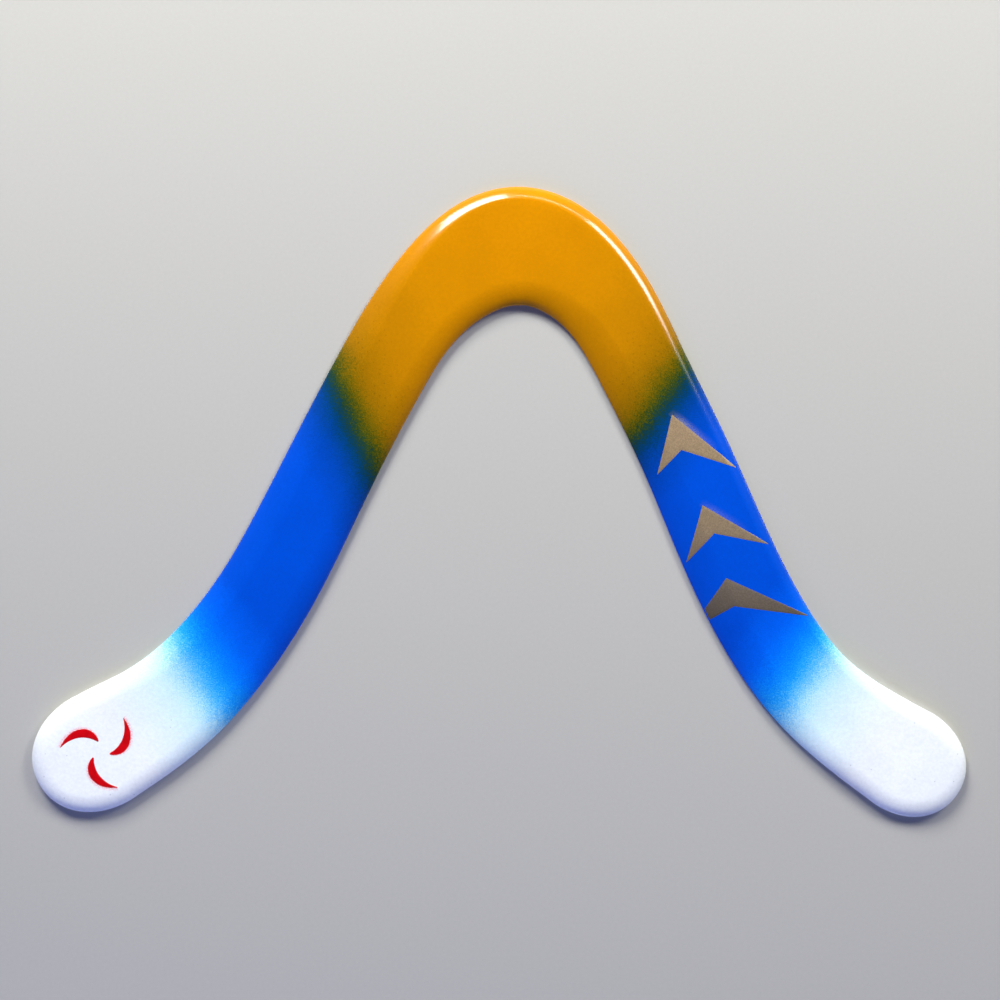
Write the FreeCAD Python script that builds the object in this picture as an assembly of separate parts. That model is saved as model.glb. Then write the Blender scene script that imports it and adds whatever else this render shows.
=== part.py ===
"""A two-armed returning boomerang, cut from ten-ply birch plywood, airfoiled by hand and spray painted.

The board is a stack of thin veneers, bare underneath. Over its top and edges go a white base coat, a white
finish on each tip, a blue coat on each arm, a yellow coat on the elbow and a clear lacquer, and three bronze
chevrons and a red whirl are stencilled on top.

Row frame, in millimetres: +X towards the right tip, +Y towards the elbow, +Z up through the airfoiled face.
The origin is in the middle of the outline's box, on the flat underside.
"""

import FreeCAD, Part
import math
import os
from FreeCAD import Vector

# --- Driving dimensions, in millimetres -----------------------------------------------------------------
THICKNESS = 5.5  # underside to top, with every coat
PLY_COUNT = 10
BASE_COAT = 0.2
COLOUR_COAT = 0.2
CLEAR_COAT = 0.25
STENCIL_COAT = 0.12

# The middle line from the left tip over the elbow to the right tip: x, y and the blade's width there.
# A smooth cubic runs through them, and "place" below counts along it, 0 at the first and 14 at the last.
STATIONS = (
    (-170.0, -105.5, 50.5),
    (-136.0, -83.0, 45.0),
    (-107.0, -49.5, 41.5),
    (-87.0, -15.0, 40.0),
    (-69.0, 21.0, 39.0),
    (-50.5, 56.0, 39.0),
    (-28.0, 89.0, 42.0),
    (7.0, 109.5, 51.0),
    (41.0, 91.5, 42.5),
    (61.5, 57.5, 38.0),
    (79.0, 21.5, 38.0),
    (95.0, -15.5, 39.0),
    (112.5, -51.0, 39.5),
    (137.5, -84.0, 40.5),
    (173.5, -110.0, 46.0),
)
LAST = len(STATIONS) - 1
LEFT_CAP = 30.5  # how far each rounded tip stands past its end station
RIGHT_CAP = 27.0
CAP_POWER = 2.1  # 2 is an ellipse, more is squarer

# How the edge is shaped at each place: place, bevel width, height of the nose, fullness of the curve.
# A fullness of 2 is a round nose, and one near 1 is a straight taper to a thin edge.
OUTER_EDGE = (
    (0.0, 8.0, 2.0, 1.9),
    (2.0, 12.0, 1.4, 1.45),  # left arm: trailing edge
    (5.0, 12.0, 1.4, 1.45),
    (7.0, 6.0, 1.6, 1.3),  # elbow: a plain chamfer, rolled over at its top
    (9.0, 5.5, 2.0, 1.4),  # right arm: leading edge
    (12.5, 5.0, 2.4, 1.7),
    (14.0, 8.0, 2.0, 1.9),
)
INNER_EDGE = (
    (0.0, 8.0, 2.0, 1.9),
    (2.0, 9.0, 2.0, 1.6),  # left arm: leading edge
    (5.0, 9.0, 2.0, 1.6),
    (7.0, 10.5, 2.0, 1.75),
    (9.0, 14.0, 1.2, 1.35),  # right arm: trailing edge
    (12.0, 14.0, 1.2, 1.35),
    (14.0, 8.0, 2.0, 1.9),
)
UNDERCUT = 0.35  # how far the edge draws in under the nose, as a share of the nose's height

# Where one sprayed colour gives way to the next: the places on the outer and on the inner edge.
LEFT_TIP_FADE = (1.5, 1.3)
LEFT_ELBOW_FADE = (4.85, 4.1)
RIGHT_ELBOW_FADE = (9.15, 9.6)
RIGHT_TIP_FADE = (12.5, 12.7)

# Chevrons: apex, notch, then the tip and the width of the end of the right wing and of the left wing.
BLUNT = 0.3  # width of a stencilled piece at a pointed end
CHEVRONS = (
    ((73.5, 37.0), (77.5, 22.0), ((101.0, 14.5), BLUNT), ((67.5, 11.5), BLUNT)),
    ((86.5, -1.5), (91.5, -13.5), ((114.5, -18.0), BLUNT), ((80.0, -26.0), BLUNT)),
    ((96.5, -32.5), (100.0, -44.5), ((131.5, -48.5), BLUNT), ((92.6, -46.8), 3.6)),
)

# The whirl: three curved blades about an open middle.
WHIRL_CENTRE = (-169.5, -106.0)
WHIRL_BLADES = 3
WHIRL_INNER_R = 4.5
WHIRL_OUTER_R = 17.0
WHIRL_SWEEP = 75.0  # degrees from a blade's root to its point
WHIRL_START = 100.0
BLADE_WIDTH = 5.0
BLADE_LEAN = 0.7  # under 1 puts a blade's widest part nearer its root

# How finely the outline and the section are sampled for the lofts.
POINT_GAP = 8.0  # between sampled points on the outline
SLOWEST_PACE = 60.0  # millimetres a turn, so that no tip is sampled without end
RIM_STEPS = 500  # samples of the outline in one of its four turns
STEP = 1e-4  # for slopes
BISECTIONS = 40
PATCH_ROWS = 4  # stencilled pieces are sampled this many times across and this many along
PATCH_COLUMNS = 14
FORWARD = 1  # how a ruled face pairs its two edges: both from start to end


# --- The outline ----------------------------------------------------------------------------------------
def cubic_bends(values):
    """The second differences of the natural cubic through evenly numbered values."""
    inner = len(values) - 2
    ratio = [0.0] * (inner + 1)
    bend = [0.0] * (inner + 1)
    for i in range(1, inner + 1):
        jump = 6.0 * (values[i - 1] - 2.0 * values[i] + values[i + 1])
        below = 4.0 - ratio[i - 1]
        ratio[i] = 1.0 / below
        bend[i] = (jump - bend[i - 1]) / below
    result = [0.0] * len(values)
    for i in range(inner, 0, -1):
        result[i] = bend[i] - ratio[i] * result[i + 1]
    return result


COLUMNS = [[station[k] for station in STATIONS] for k in range(3)]
BENDS = [cubic_bends(column) for column in COLUMNS]


def middle_line(place):
    """x, y and width of the blade at a place along its middle line."""
    i = min(max(int(place), 0), LAST - 1)
    f = place - i
    g = 1.0 - f
    found = []
    for column, bends in zip(COLUMNS, BENDS):
        straight = g * column[i] + f * column[i + 1]
        found.append(straight + ((g**3 - g) * bends[i] + (f**3 - f) * bends[i + 1]) / 6.0)
    return found


def heading(place):
    """The unit vector along the middle line."""
    x0, y0, _ = middle_line(place - STEP)
    x1, y1, _ = middle_line(place + STEP)
    length = math.hypot(x1 - x0, y1 - y0)
    return (x1 - x0) / length, (y1 - y0) / length


def side_point(place, side):
    """A point on the long outer (side 1) or inner (side -1) edge."""
    x, y, width = middle_line(place)
    hx, hy = heading(place)
    return x - hy * side * width / 2.0, y + hx * side * width / 2.0


def cap_point(angle, place, reach):
    """A point on a rounded tip. angle runs from 90 degrees on the outer edge to -90 on the inner one."""
    x, y, width = middle_line(place)
    hx, hy = heading(place)
    along = reach * abs(math.cos(angle)) ** (2.0 / CAP_POWER)
    across = math.copysign(width / 2.0 * abs(math.sin(angle)) ** (2.0 / CAP_POWER), math.sin(angle))
    return x + hx * along - hy * across, y + hy * along + hx * across


def cap_normal(angle, place, reach):
    """The unit vector that points straight out of a rounded tip."""
    hx, hy = heading(place)
    steep = 2.0 - 2.0 / CAP_POWER
    along = abs(math.cos(angle)) ** steep / reach
    across = math.copysign(abs(math.sin(angle)) ** steep * 2.0 / middle_line(place)[2], math.sin(angle))
    length = math.hypot(along, across)
    return (hx * along - hy * across) / length, (hy * along + hx * across) / length


def raw_rim(turn):
    """The outline as turn goes 0 to 4: outer edge, right tip, inner edge, left tip."""
    leg = int(math.floor(turn)) % 4
    f = turn - math.floor(turn)
    if leg == 0:
        return side_point(f * LAST, 1)
    if leg == 1:
        return cap_point(math.pi * (0.5 - f), LAST, RIGHT_CAP)
    if leg == 2:
        return side_point((1.0 - f) * LAST, -1)
    return cap_point(math.pi * (f - 0.5), 0, -LEFT_CAP)


def box_middle(points):
    """The middle of the box round some points."""
    xs = [p[0] for p in points]
    ys = [p[1] for p in points]
    return (min(xs) + max(xs)) / 2.0, (min(ys) + max(ys)) / 2.0


MIDDLE = box_middle([raw_rim(i / RIM_STEPS) for i in range(4 * RIM_STEPS)])


def rim(turn):
    """The outline with the middle of its box at the origin."""
    x, y = raw_rim(turn)
    return x - MIDDLE[0], y - MIDDLE[1]


def rim_normal(turn):
    """The unit vector that points out of the outline: square to the middle line along the long edges."""
    leg = int(math.floor(turn)) % 4
    f = turn - math.floor(turn)
    if leg == 1:
        return cap_normal(math.pi * (0.5 - f), LAST, RIGHT_CAP)
    if leg == 3:
        return cap_normal(math.pi * (f - 0.5), 0, -LEFT_CAP)
    hx, hy = heading(f * LAST if leg == 0 else (1.0 - f) * LAST)
    return (-hy, hx) if leg == 0 else (hy, -hx)


# --- The edge's section ---------------------------------------------------------------------------------
def edge_shape(turn):
    """Bevel width, nose height and fullness of the edge at a turn of the outline."""
    leg = int(math.floor(turn)) % 4
    f = turn - math.floor(turn)
    keys = OUTER_EDGE if leg < 2 else INNER_EDGE
    place = (f * LAST, LAST, (1.0 - f) * LAST, 0.0)[leg]
    for low, high in zip(keys, keys[1:]):
        if place <= high[0]:
            share = (place - low[0]) / (high[0] - low[0])
            share = share * share * (3.0 - 2.0 * share)
            return [a + (b - a) * share for a, b in zip(low[1:], high[1:])]
    return list(keys[-1][1:])


def section(shape, rise):
    """How far in from the outline, and how high, the finished surface is. rise is -1 at the underside,
    0 at the nose and 1 where the flat top begins."""
    bevel, nose, fullness = shape
    angle = abs(rise) * math.pi / 2.0
    if rise < 0.0:
        return UNDERCUT * nose * (1.0 - math.cos(angle)), nose * (1.0 - math.sin(angle))
    power = 2.0 / fullness
    inset = bevel * (1.0 - max(math.cos(angle), 0.0) ** power)
    return inset, nose + (THICKNESS - nose) * math.sin(angle) ** power


def section_normal(shape, rise):
    """The inward and upward parts of the surface's outward normal."""
    if rise <= 0.0:
        return -1.0, 0.0
    if rise >= 1.0:
        return 0.0, 1.0
    inset0, z0 = section(shape, rise - STEP)
    inset1, z1 = section(shape, rise + STEP)
    length = math.hypot(inset1 - inset0, z1 - z0)
    return (z0 - z1) / length, (inset1 - inset0) / length


def section_inside(shape, rise, depth):
    """The section of the surface that lies a depth under the finished one."""
    inset, z = section(shape, rise)
    inward, up = section_normal(shape, rise)
    return inset - inward * depth, z - up * depth


def rise_at(shape, height, depth):
    """The rise at which the surface a depth down reaches a height."""
    low, high = -1.0, 1.0
    for _ in range(BISECTIONS):
        middle = (low + high) / 2.0
        if section_inside(shape, middle, depth)[1] < height:
            low = middle
        else:
            high = middle
    return (low + high) / 2.0


FILM = BASE_COAT + COLOUR_COAT + CLEAR_COAT
PLY = (THICKNESS - FILM) / PLY_COUNT


def column(turn, depth):
    """Points up the edge at one turn of the outline, one at each glue line of the board."""
    shape = edge_shape(turn)
    x, y = rim(turn)
    nx, ny = rim_normal(turn)
    points = []
    for i in range(PLY_COUNT + 1):
        rise = -1.0 if i == 0 else 1.0
        if 0 < i < PLY_COUNT:
            rise = rise_at(shape, i * PLY, FILM)
        inset, z = section_inside(shape, rise, depth)
        points.append(Vector(x - nx * inset, y - ny * inset, z))
    return points


def stretch_turns(start, end):
    """Evenly spaced turns from start to end, which may pass 4 and begin again. A tip counts by its curve."""
    turns = [start]
    while turns[-1] < end:
        here = turns[-1]
        x0, y0 = rim(here)
        x1, y1 = rim(here + STEP)
        pace = math.hypot(x1 - x0, y1 - y0) / STEP
        turns.append(here + POINT_GAP / max(pace, SLOWEST_PACE))
    share = (end - start) / (turns[-1] - start)
    return [start + (turn - start) * share for turn in turns]


def rows(stretch, depth):
    """Smooth edges along a stretch of the outline, one at each glue line, with the outline's own slope at
    both ends, so that they run on into the next stretch's."""
    start, end = stretch
    columns = [column(turn, depth) for turn in stretch_turns(start, end)]
    slopes = [(column(turn - STEP, depth), column(turn + STEP, depth)) for turn in stretch]
    found = []
    for level in range(PLY_COUNT + 1):
        tangents = [(after[level] - before[level]).normalize() for before, after in slopes]
        curve = Part.BSplineCurve()
        points = [points[level] for points in columns]
        curve.interpolate(Points=points, InitialTangent=tangents[0], FinalTangent=tangents[1])
        found.append(curve.toShape())
    return found


def strips(edges):
    """The ruled faces between edges that follow each other."""
    return [Part.makeRuledSurface(a, b, FORWARD) for a, b in zip(edges, edges[1:])]


def polyline(points):
    return [Part.LineSegment(a, b).toShape() for a, b in zip(points, points[1:])]


def solid_of(faces):
    """The solid that a closed set of faces bounds, with its faces outwards."""
    shell = Part.makeShell(faces)
    shell.sewShape()
    solid = Part.Solid(Part.Shell(shell.Faces))
    if solid.Volume < 0.0:
        solid.reverse()
    return solid


# --- Board and coats ------------------------------------------------------------------------------------
def outer_turn(place):
    return place / LAST


def inner_turn(place):
    return 3.0 - place / LAST


FADES = (LEFT_TIP_FADE, LEFT_ELBOW_FADE, RIGHT_ELBOW_FADE, RIGHT_TIP_FADE)
OUTER_STRETCHES = [(outer_turn(a[0]), outer_turn(b[0])) for a, b in zip(FADES, FADES[1:])]
INNER_STRETCHES = [(inner_turn(b[1]), inner_turn(a[1])) for a, b in zip(FADES, FADES[1:])]
RIGHT_TIP = (outer_turn(RIGHT_TIP_FADE[0]), inner_turn(RIGHT_TIP_FADE[1]))
LEFT_TIP = (inner_turn(LEFT_TIP_FADE[1]), 4.0 + outer_turn(LEFT_TIP_FADE[0]))
WHOLE = OUTER_STRETCHES + [RIGHT_TIP] + INNER_STRETCHES[::-1] + [LEFT_TIP]


def flat(edge_sets, level):
    """The flat face inside the edges of one level."""
    return Part.Face(Part.Wire([edges[level] for edges in edge_sets]))


def plies():
    """The veneers, numbered from the underside."""
    edge_sets = [rows(stretch, FILM) for stretch in WHOLE]
    found = {}
    for i in range(PLY_COUNT):
        sides = [Part.makeRuledSurface(edges[i], edges[i + 1], FORWARD) for edges in edge_sets]
        flats = [flat(edge_sets, i), flat(edge_sets, i + 1)]
        found["ply_%02d" % (i + 1)] = solid_of(sides + flats)
    return found


def skins_and_hem(stretch, outer_depth, inner_depth):
    """The outer and inner edges of a coat along a stretch, and its faces there, with the hem underneath."""
    outer = rows(stretch, outer_depth)
    inner = rows(stretch, inner_depth)
    return outer, inner, strips(outer) + strips(inner) + strips([outer[0], inner[0]])


def whole_coat(outer_depth, inner_depth):
    """A coat over the whole top and all the edges, open underneath."""
    found = [skins_and_hem(stretch, outer_depth, inner_depth) for stretch in WHOLE]
    faces = [face for _, _, hemmed in found for face in hemmed]
    return solid_of(faces + [flat([each[side] for each in found], -1) for side in (0, 1)])


def part_coat(stretches, outer_depth, inner_depth):
    """A coat over a zone: a list of stretches of the outline, joined by straight lines over the top."""
    faces = []
    tops = ([], [])
    for stretch in stretches:
        outer, inner, hemmed = skins_and_hem(stretch, outer_depth, inner_depth)
        faces += hemmed
        for turn in stretch:
            walls = zip(polyline(column(turn, outer_depth)), polyline(column(turn, inner_depth)))
            faces += [Part.makeRuledSurface(a, b, FORWARD) for a, b in walls]
        tops[0].append(outer[-1])
        tops[1].append(inner[-1])
    lines = ([], [])
    for (_, end), (start, _) in zip(stretches, stretches[1:] + stretches[:1]):
        for found, depth in zip(lines, (outer_depth, inner_depth)):
            found += polyline([column(end, depth)[-1], column(start, depth)[-1]])
    faces += [Part.makeRuledSurface(a, b, FORWARD) for a, b in zip(*lines)]
    for curves, straights in zip(tops, lines):
        loop = [edge for pair in zip(curves, straights) for edge in pair]
        faces.append(Part.Face(Part.Wire(loop)))
    return solid_of(faces)


def coats():
    """The paint and lacquer, from the wood outwards."""
    left_arm, elbow, right_arm = [list(pair) for pair in zip(OUTER_STRETCHES, INNER_STRETCHES)]
    zones = {
        "white_tip_coat_left": [LEFT_TIP],
        "blue_coat_left": left_arm,
        "yellow_elbow_coat": elbow,
        "blue_coat_right": right_arm,
        "white_tip_coat_right": [RIGHT_TIP],
    }
    colour_depth = CLEAR_COAT + COLOUR_COAT
    found = {"white_base_coat": whole_coat(colour_depth, FILM)}
    for name, stretches in zones.items():
        found[name] = part_coat(stretches, CLEAR_COAT, colour_depth)
    found["clear_lacquer"] = whole_coat(0.0, CLEAR_COAT)
    return found


# --- Stencilled pieces ----------------------------------------------------------------------------------
RIM_SAMPLES = [(i / RIM_STEPS, rim(i / RIM_STEPS)) for i in range(4 * RIM_STEPS)]


def lacquer_height(x, y):
    """The height of the finished top over a point of the plan."""
    turn = min(RIM_SAMPLES, key=lambda sample: math.hypot(sample[1][0] - x, sample[1][1] - y))[0]
    rx, ry = rim(turn)
    nx, ny = rim_normal(turn)
    inset = (rx - x) * nx + (ry - y) * ny
    shape = edge_shape(turn)
    if inset >= shape[0]:
        return THICKNESS
    low, high = 0.0, 1.0
    for _ in range(BISECTIONS):
        middle = (low + high) / 2.0
        if section(shape, middle)[0] < inset:
            low = middle
        else:
            high = middle
    return section(shape, low)[1]


def patch(upper, lower):
    """A thin plate on the lacquer between two lines of plan points, as its top, its underside and its four
    sides: first the two long ones, then the start and the end."""
    skins = []
    for lift in (STENCIL_COAT, 0.0):
        grid = []
        for (ux, uy), (lx, ly) in zip(upper, lower):
            row = []
            for j in range(PATCH_ROWS):
                f = j / (PATCH_ROWS - 1.0)
                x = ux + (lx - ux) * f
                y = uy + (ly - uy) * f
                row.append(Vector(x, y, lacquer_height(x, y) + lift))
            grid.append(row)
        surface = Part.BSplineSurface()
        surface.interpolate(grid)
        skins.append(surface)
    sides = []
    for turn in ("V", "U"):
        for end in (0, 1):
            curves = []
            for surface in skins:
                u0, u1, v0, v1 = surface.bounds()
                curve = surface.vIso((v0, v1)[end]) if turn == "V" else surface.uIso((u0, u1)[end])
                curves.append(curve.toShape())
            sides.append(Part.makeRuledSurface(curves[0], curves[1], FORWARD))
    return [skin.toShape() for skin in skins], sides


def between(a, b, count=PATCH_COLUMNS):
    """Evenly spaced points from a to b."""
    steps = [i / (count - 1.0) for i in range(count)]
    return [(a[0] + (b[0] - a[0]) * f, a[1] + (b[1] - a[1]) * f) for f in steps]


def chevron(apex, notch, *ends):
    """Two wings that meet along the line from the apex to the notch."""
    length = math.hypot(apex[0] - notch[0], apex[1] - notch[1])
    dx = (apex[0] - notch[0]) / length
    dy = (apex[1] - notch[1]) / length
    faces = []
    for (x, y), width in ends:
        upper = (x + dx * width / 2.0, y + dy * width / 2.0)
        lower = (x - dx * width / 2.0, y - dy * width / 2.0)
        skins, sides = patch(between(apex, upper), between(notch, lower))
        faces += skins + sides[:2] + sides[3:]
    return solid_of(faces)


def whirl_blade(number):
    """One blade of the whirl: the space between two arcs from its root to its point."""
    cx, cy = WHIRL_CENTRE
    upper, lower = [], []
    for i in range(PATCH_COLUMNS):
        f = i / (PATCH_COLUMNS - 1.0)
        angle = math.radians(WHIRL_START + 360.0 * number / WHIRL_BLADES + WHIRL_SWEEP * f)
        radius = WHIRL_INNER_R + (WHIRL_OUTER_R - WHIRL_INNER_R) * f
        half = (BLUNT + BLADE_WIDTH * math.sin(math.pi * f**BLADE_LEAN)) / 2.0
        for line, r in ((upper, radius + half), (lower, radius - half)):
            line.append((cx + r * math.cos(angle), cy + r * math.sin(angle)))
    skins, sides = patch(upper, lower)
    return solid_of(skins + sides)


def stencils():
    """The bronze chevrons and the red whirl, standing just proud of the lacquer."""
    found = {}
    for i, corners in enumerate(CHEVRONS):
        found["bronze_chevron_%d" % (i + 1)] = chevron(*corners)
    for i in range(WHIRL_BLADES):
        found["red_whirl_blade_%d" % (i + 1)] = whirl_blade(i)
    return found


def main():
    nodes = plies()
    nodes.update(coats())
    nodes.update(stencils())
    os.makedirs("parts", exist_ok=True)
    for name, shape in nodes.items():
        shape.exportStep("parts/%s.step" % name)
        box = shape.BoundBox
        state = "whole" if shape.isValid() and shape.isClosed() else "BROKEN"
        print("%-22s %s z %.2f to %.2f, %.2f cm3" % (name, state, box.ZMin, box.ZMax, shape.Volume / 1000.0))


main()
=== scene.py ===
"""The finished look of a painted plywood boomerang: sprayed colours under gloss lacquer, stencilled bronze
chevrons and a red whirl, bare birch underneath, on a pale studio floor.

Everything is in metres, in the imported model's own frame: +X towards the right tip, +Y towards the elbow and
+Z up. Sizes named *_MM are in millimetres.
"""

import bmesh
import bpy
import math
import numpy as np
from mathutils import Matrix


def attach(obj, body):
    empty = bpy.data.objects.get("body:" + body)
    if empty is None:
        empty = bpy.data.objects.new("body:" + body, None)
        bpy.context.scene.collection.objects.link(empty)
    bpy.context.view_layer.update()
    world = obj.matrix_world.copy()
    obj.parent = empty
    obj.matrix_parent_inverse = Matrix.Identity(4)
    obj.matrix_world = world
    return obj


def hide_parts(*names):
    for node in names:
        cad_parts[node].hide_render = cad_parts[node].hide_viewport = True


bl_info = {
    "name": "Painted Boomerang",
    "version": (1, 0, 0),
    "blender": (4, 5, 0),
    "location": "View3D > Sidebar > Boomerang",
    "description": "Paints, lacquers and lights a plywood boomerang",
    "category": "Object",
}

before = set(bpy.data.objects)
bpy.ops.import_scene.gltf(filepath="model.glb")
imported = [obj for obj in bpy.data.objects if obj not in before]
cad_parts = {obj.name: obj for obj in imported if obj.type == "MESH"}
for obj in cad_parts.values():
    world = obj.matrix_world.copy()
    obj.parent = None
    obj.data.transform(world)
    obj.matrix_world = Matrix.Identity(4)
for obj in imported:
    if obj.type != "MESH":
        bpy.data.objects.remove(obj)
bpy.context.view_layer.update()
MM = 0.001
FROM_METRES_TO_MM = (1.0 / MM,) * 3

# --- The board's outline, as the model's own script draws it --------------------------------------------
# Middle line from the left tip over the elbow to the right tip: x, y and the blade's width there.
# "Place" counts along it, 0 at the first station and 14 at the last.
STATIONS_MM = np.array((
    (-170.0, -105.5, 50.5),
    (-136.0, -83.0, 45.0),
    (-107.0, -49.5, 41.5),
    (-87.0, -15.0, 40.0),
    (-69.0, 21.0, 39.0),
    (-50.5, 56.0, 39.0),
    (-28.0, 89.0, 42.0),
    (7.0, 109.5, 51.0),
    (41.0, 91.5, 42.5),
    (61.5, 57.5, 38.0),
    (79.0, 21.5, 38.0),
    (95.0, -15.5, 39.0),
    (112.5, -51.0, 39.5),
    (137.5, -84.0, 40.5),
    (173.5, -110.0, 46.0),
))
LAST = len(STATIONS_MM) - 1
LEFT_CAP_MM = 30.5  # how far each rounded tip stands past its end station
RIGHT_CAP_MM = 27.0
CAP_POWER = 2.1  # 2 is an ellipse, more is squarer
THICKNESS_MM = 5.5
CLEAR_COAT_MM = 0.25
MERGE_MM = 0.0005  # points nearer than this become one
SHARP_ANGLE = 45.0  # degrees; a crease of this or more isn't shaded smooth

# Place, bevel width, height of the nose and fullness of the curve, along each long edge.
OUTER_EDGE = np.array((
    (0.0, 8.0, 2.0, 1.9),
    (2.0, 12.0, 1.4, 1.45),
    (5.0, 12.0, 1.4, 1.45),
    (7.0, 6.0, 1.6, 1.3),
    (9.0, 5.5, 2.0, 1.4),
    (12.5, 5.0, 2.4, 1.7),
    (14.0, 8.0, 2.0, 1.9),
))
INNER_EDGE = np.array((
    (0.0, 8.0, 2.0, 1.9),
    (2.0, 9.0, 2.0, 1.6),
    (5.0, 9.0, 2.0, 1.6),
    (7.0, 10.5, 2.0, 1.75),
    (9.0, 14.0, 1.2, 1.35),
    (12.0, 14.0, 1.2, 1.35),
    (14.0, 8.0, 2.0, 1.9),
))
UNDERCUT = 0.35  # how far the edge draws in under the nose, as a share of the nose's height
STEP = 1e-4  # for slopes
OUTLINE_STEP = 0.002  # in turns of the outline, for its box
RIM_STEP = 0.0005  # in turns of the outline, for the distance to it
HALVINGS = 30  # enough to find a rise to far better than a micron
SUNK_MM = 0.02  # how far a stencilled film's underside lies in the lacquer
RIM_GAP_MM = 0.25  # how near a stencilled film comes to the outline

# Sprayed fades: a point on the outer side, one on the inner side, and which way the lighter paint lies.
ELBOW_FADES_MM = (((-70.5, 59.5), (-51.5, 15.5), 1.0), ((78.5, 60.0), (57.0, 29.0), -1.0))
TIP_FADES_MM = (((-132.0, -59.0), (-112.0, -87.0), -1.0), ((137.5, -57.0), (116.0, -86.0), 1.0))

# Chevrons: apex, notch, then the upper and lower corner of the right wing's end and of the left wing's.
# The third one's left wing runs down to the inner edge.
CHEVRONS_MM = (
    ((73.5, 37.0), (77.5, 22.0), ((101.0, 14.7), (101.0, 14.4)), ((67.5, 11.7), (67.5, 11.4))),
    ((86.5, -1.5), (91.5, -13.5), ((114.5, -17.8), (114.5, -18.1)), ((80.0, -25.8), (80.0, -26.1))),
    ((96.5, -32.5), (100.0, -44.5), ((131.5, -48.3), (131.5, -48.6)), ((87.9, -45.9), (90.1, -50.5))),
)
CROWN_POWER = 8  # how flat a film is before it thins to nothing at its sides

WHIRL_CENTRE_MM = (-169.5, -106.0)
WHIRL_BLADES = 3
WHIRL_INNER_MM = 4.5  # radius where a blade starts
WHIRL_OUTER_MM = 17.0  # and where it ends
WHIRL_SWEEP = 75.0  # degrees from a blade's start to its end
WHIRL_START = 100.0  # degrees from +X to the first blade's start
BLADE_WIDTH_MM = 5.0
BLUNT_MM = 0.3  # width of a blade at its ends
BLADE_LEAN = 0.7  # below 1, a blade is widest nearer its start


def cubic_bends(values):
    """Second differences of the natural cubic through evenly numbered rows: the tridiagonal rule 1, 4, 1."""
    system = np.eye(len(values))
    right = np.zeros_like(values)
    inner = np.arange(1, len(values) - 1)
    system[inner, inner] = 4.0
    system[inner, inner - 1] = 1.0
    system[inner, inner + 1] = 1.0
    right[inner] = 6.0 * (values[inner - 1] - 2.0 * values[inner] + values[inner + 1])
    return np.linalg.solve(system, right)


BENDS = cubic_bends(STATIONS_MM)


def middle_line(place):
    """x, y and width at each place, on the natural cubic through the stations: with f the way from one to the
    next and g = 1 - f, it is the straight line plus ((g^3 - g) bend + (f^3 - f) next bend) / 6."""
    i = np.clip(place.astype(int), 0, LAST - 1)
    f = (place - i)[:, None]
    g = 1.0 - f
    straight = g * STATIONS_MM[i] + f * STATIONS_MM[i + 1]
    return straight + ((g**3 - g) * BENDS[i] + (f**3 - f) * BENDS[i + 1]) / 6.0


def heading(place):
    """Unit vectors along the middle line."""
    along = (middle_line(place + STEP) - middle_line(place - STEP))[:, :2]
    return along / np.linalg.norm(along, axis=1)[:, None]


def beside(place, along, across):
    """The plan point a length ahead of each place and a length to the left of its heading."""
    line = middle_line(place)
    ahead = heading(place)
    left = np.stack((-ahead[:, 1], ahead[:, 0]), axis=1)
    return line[:, :2] + ahead * along[:, None] + left * across[:, None]


def signed_power(value, power):
    return np.sign(value) * np.abs(value) ** power


def legs(turn):
    """Which of its four legs each turn of the outline is on, the place there, and the angle and reach of the
    rounded tip: outer edge, right tip, inner edge, left tip."""
    leg = np.floor(turn).astype(int) % 4
    f = turn - np.floor(turn)
    none = np.zeros_like(f)
    place = np.choose(leg, (f * LAST, none + LAST, (1.0 - f) * LAST, none))
    angle = np.pi * np.choose(leg, (none + 0.5, 0.5 - f, none - 0.5, f - 0.5))
    reach = np.choose(leg, (none + RIGHT_CAP_MM, none + RIGHT_CAP_MM, none - LEFT_CAP_MM, none - LEFT_CAP_MM))
    return leg, place, angle, reach


def raw_rim(turn):
    """The outline and its outward unit normals as turn goes 0 to 4. The long edges stand half a width from
    the middle line, square to it, and the tips are superellipses of power CAP_POWER."""
    _, place, angle, reach = legs(turn)
    half = middle_line(place)[:, 2] / 2.0
    cos, sin = np.cos(angle), np.sin(angle)
    cos = np.where(np.abs(cos) < 1e-9, 0.0, cos)
    along = reach * np.abs(cos) ** (2.0 / CAP_POWER)
    across = half * signed_power(sin, 2.0 / CAP_POWER)
    steep = 2.0 - 2.0 / CAP_POWER
    ahead, left = np.abs(cos) ** steep / reach, signed_power(sin, steep) / half
    length = np.hypot(ahead, left)
    line = beside(place, 0.0 * half, 0.0 * half)
    return beside(place, along, across), beside(place, ahead / length, left / length) - line


OUTLINE_MM = raw_rim(np.arange(0.0, 4.0, OUTLINE_STEP))[0]
MIDDLE_MM = (OUTLINE_MM.min(axis=0) + OUTLINE_MM.max(axis=0)) / 2.0


def rim(turn):
    """The outline with the middle of its box at the origin, and its outward unit normals."""
    points, normals = raw_rim(turn)
    return points - MIDDLE_MM, normals


def edge_shape(turn):
    """Bevel, nose height and fullness at each turn, eased from one key place to the next."""
    leg, place, _, _ = legs(turn)
    found = []
    for keys in (OUTER_EDGE, INNER_EDGE):
        high = np.clip(np.searchsorted(keys[:, 0], place), 1, len(keys) - 1)
        share = ((place - keys[high - 1, 0]) / (keys[high, 0] - keys[high - 1, 0]))[:, None]
        share = share * share * (3.0 - 2.0 * share)
        found.append(keys[high - 1, 1:] + (keys[high, 1:] - keys[high - 1, 1:]) * share)
    return np.where((leg < 2)[:, None], found[0], found[1])


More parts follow.
